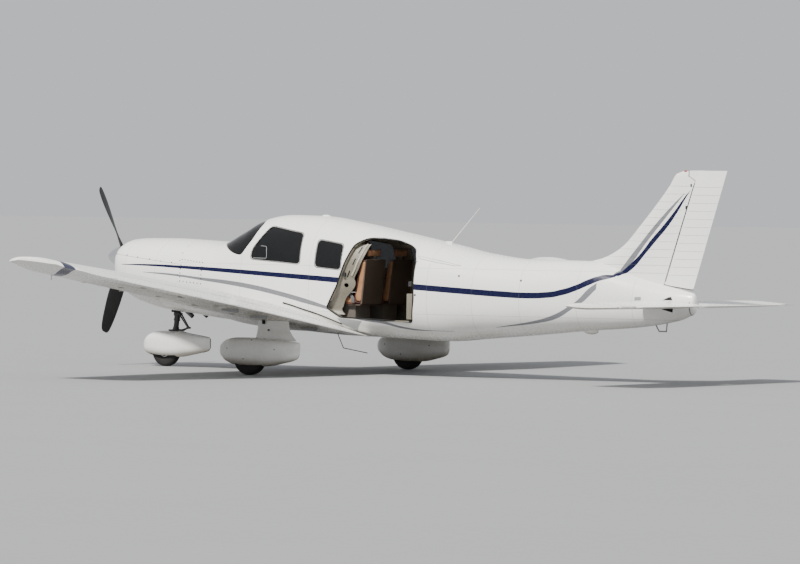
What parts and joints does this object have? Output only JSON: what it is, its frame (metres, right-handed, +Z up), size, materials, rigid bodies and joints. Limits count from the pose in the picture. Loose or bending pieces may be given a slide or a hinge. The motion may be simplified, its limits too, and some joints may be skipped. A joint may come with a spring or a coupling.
{
  "type": "light aircraft",
  "caption": "Low-wing light aircraft with fixed tricycle gear in wheel pants, one propeller, an all-moving tailplane and an open rear cabin doorway, parked.",
  "frame": {"origin": "on the ground under the middle of the aircraft's length, in its centre plane", "axes": "+Z up, nose towards -X, right wing towards +Y"},
  "size_m": [8.4438, 11.02, 2.392],
  "materials": {
    "white_paint": null,
    "white_skin": "gloss white paint on sheet aluminium",
    "black_paint": "satin black paint",
    "black_plastic": "matt black",
    "polished": "polished",
    "engine": "rough cast metal",
    "gear_metal": "dark painted steel",
    "window_plastic": "clear, grey from the side",
    "seat_leather": "tan leather",
    "cabin_trim": "beige carpet and trim",
    "panel_plastic": "matt dark grey",
    "tyre": "black rubber"
  },
  "bodies": {
    "airframe": {"cowl_upper": "white_paint", "cowl_lower": "white_paint", "engine_block": "engine", "nose_bay": "white_skin", "cabin_roof": "white_skin", "antenna_whip": "black_plastic", "cabin_side_right": "white_skin", "cabin_side_left": "white_skin", "cabin_belly": "white_skin", "antenna_belly": "black_plastic", "cabin_floor": "cabin_trim", "instrument_panel": "panel_plastic", "windshield_right": "window_plastic", "windshield_left": "window_plastic", "window_front_left": "window_plastic", "window_second_left": "window_plastic", "window_second_right": "window_plastic", "window_third_right": "window_plastic", "window_rear_right": "window_plastic", "seat_front_left": "seat_leather", "seat_front_right": "seat_leather", "seat_middle_left": "seat_leather", "seat_middle_right": "seat_leather", "tail_cone": "white_paint", "tail_tie_down": "gear_metal", "fin": "white_paint", "wing_right": "white_paint", "wing_left": "white_paint", "main_leg_right": "white_paint", "main_leg_left": "white_paint", "main_pant_right": "white_paint", "main_pant_left": "white_paint", "nose_strut": "gear_metal"},
    "propeller": {"spinner": "polished", "blade_upper": "black_paint", "blade_lower": "black_paint", "blade_side": "black_paint"},
    "nose_gear": {"nose_fork": "gear_metal", "nose_pant": "white_paint"},
    "nose_wheel": {"nose_tyre": "tyre", "nose_rim": "polished"},
    "wheel_left": {"main_tyre_left": "tyre", "main_rim_left": "polished"},
    "wheel_right": {"main_tyre_right": "tyre", "main_rim_right": "polished"},
    "rudder": {"rudder": "white_paint"},
    "stabilator": {"stabilator": "white_paint"},
    "stabilator_tab": {"stabilator_tab": "white_paint"},
    "flap_left": {"flap_left": "white_paint"},
    "flap_right": {"flap_right": "white_paint"},
    "aileron_left": {"aileron_left": "white_paint"},
    "aileron_right": {"aileron_right": "white_paint"},
    "front_door": {"front_door": "white_skin", "front_door_window": "window_plastic"},
    "nose_bay_door": {"nose_bay_door": "white_skin"}
  },
  "joints": [
    {"name": "propeller_spin", "type": "hinge", "parent": "airframe", "child": "propeller", "pos_m": [-3.958, 0, 1.29], "axis": [1, 0, 0], "continuous": true},
    {"name": "nose_steer", "type": "hinge", "parent": "airframe", "child": "nose_gear", "pos_m": [-3.249, 0, 0.18], "axis": [0.1142, 0, 0.9935], "range_deg": [-22.5, 22.5]},
    {"name": "nose_wheel_spin", "type": "hinge", "parent": "nose_gear", "child": "nose_wheel", "pos_m": [-3.35, 0, 0.18], "axis": [0, 1, 0], "continuous": true},
    {"name": "wheel_spin_left", "type": "hinge", "parent": "airframe", "child": "wheel_left", "pos_m": [-1.003, -1.665, 0.2], "axis": [0, 1, 0], "continuous": true},
    {"name": "wheel_spin_right", "type": "hinge", "parent": "airframe", "child": "wheel_right", "pos_m": [-1.003, 1.665, 0.2], "axis": [0, 1, 0], "continuous": true},
    {"name": "rudder_hinge", "type": "hinge", "parent": "airframe", "child": "rudder", "pos_m": [3.473, 0, 1.106], "axis": [0.2973, 0, 0.9548], "range_deg": [-27, 27]},
    {"name": "stabilator_hinge", "type": "hinge", "parent": "airframe", "child": "stabilator", "pos_m": [3.557, 0, 0.89], "axis": [0, 1, 0], "range_deg": [-16, 3]},
    {"name": "tab_hinge", "type": "hinge", "parent": "stabilator", "child": "stabilator_tab", "pos_m": [3.984, 0, 0.89], "axis": [0, 1, 0], "range_deg": [-12, 3]},
    {"name": "flap_hinge_left", "type": "hinge", "parent": "airframe", "child": "flap_left", "pos_m": [-0.478, -0.715, 0.53684], "axis": [0, 0.9898, -0.1427], "range_deg": [0, 40]},
    {"name": "flap_hinge_right", "type": "hinge", "parent": "airframe", "child": "flap_right", "pos_m": [-0.478, 0.715, 0.53684], "axis": [0, 0.9898, 0.1427], "range_deg": [0, 40]},
    {"name": "aileron_hinge_left", "type": "hinge", "parent": "airframe", "child": "aileron_left", "pos_m": [-0.523, -2.74, 0.83694], "axis": [0.1243, 0.982, -0.142], "range_deg": [-30, 15]},
    {"name": "aileron_hinge_right", "type": "hinge", "parent": "airframe", "child": "aileron_right", "pos_m": [-0.523, 2.74, 0.83694], "axis": [-0.1243, 0.982, 0.142], "range_deg": [-30, 15]},
    {"name": "front_door_hinge", "type": "hinge", "parent": "airframe", "child": "front_door", "pos_m": [-1.789, 0.648, 1.1], "axis": [0, 0.0523, 0.9986], "range_deg": [0, 75]},
    {"name": "bay_door_hinge", "type": "hinge", "parent": "airframe", "child": "nose_bay_door", "pos_m": [-2.588, 0.549, 1.294], "axis": [1, 0, 0], "range_deg": [0, 80]}
  ],
  "couplings": [
    {"joint": "tab_hinge", "follows": "stabilator_hinge", "ratio": 0.75},
    {"joint": "flap_hinge_right", "follows": "flap_hinge_left", "ratio": 1}
  ]
}
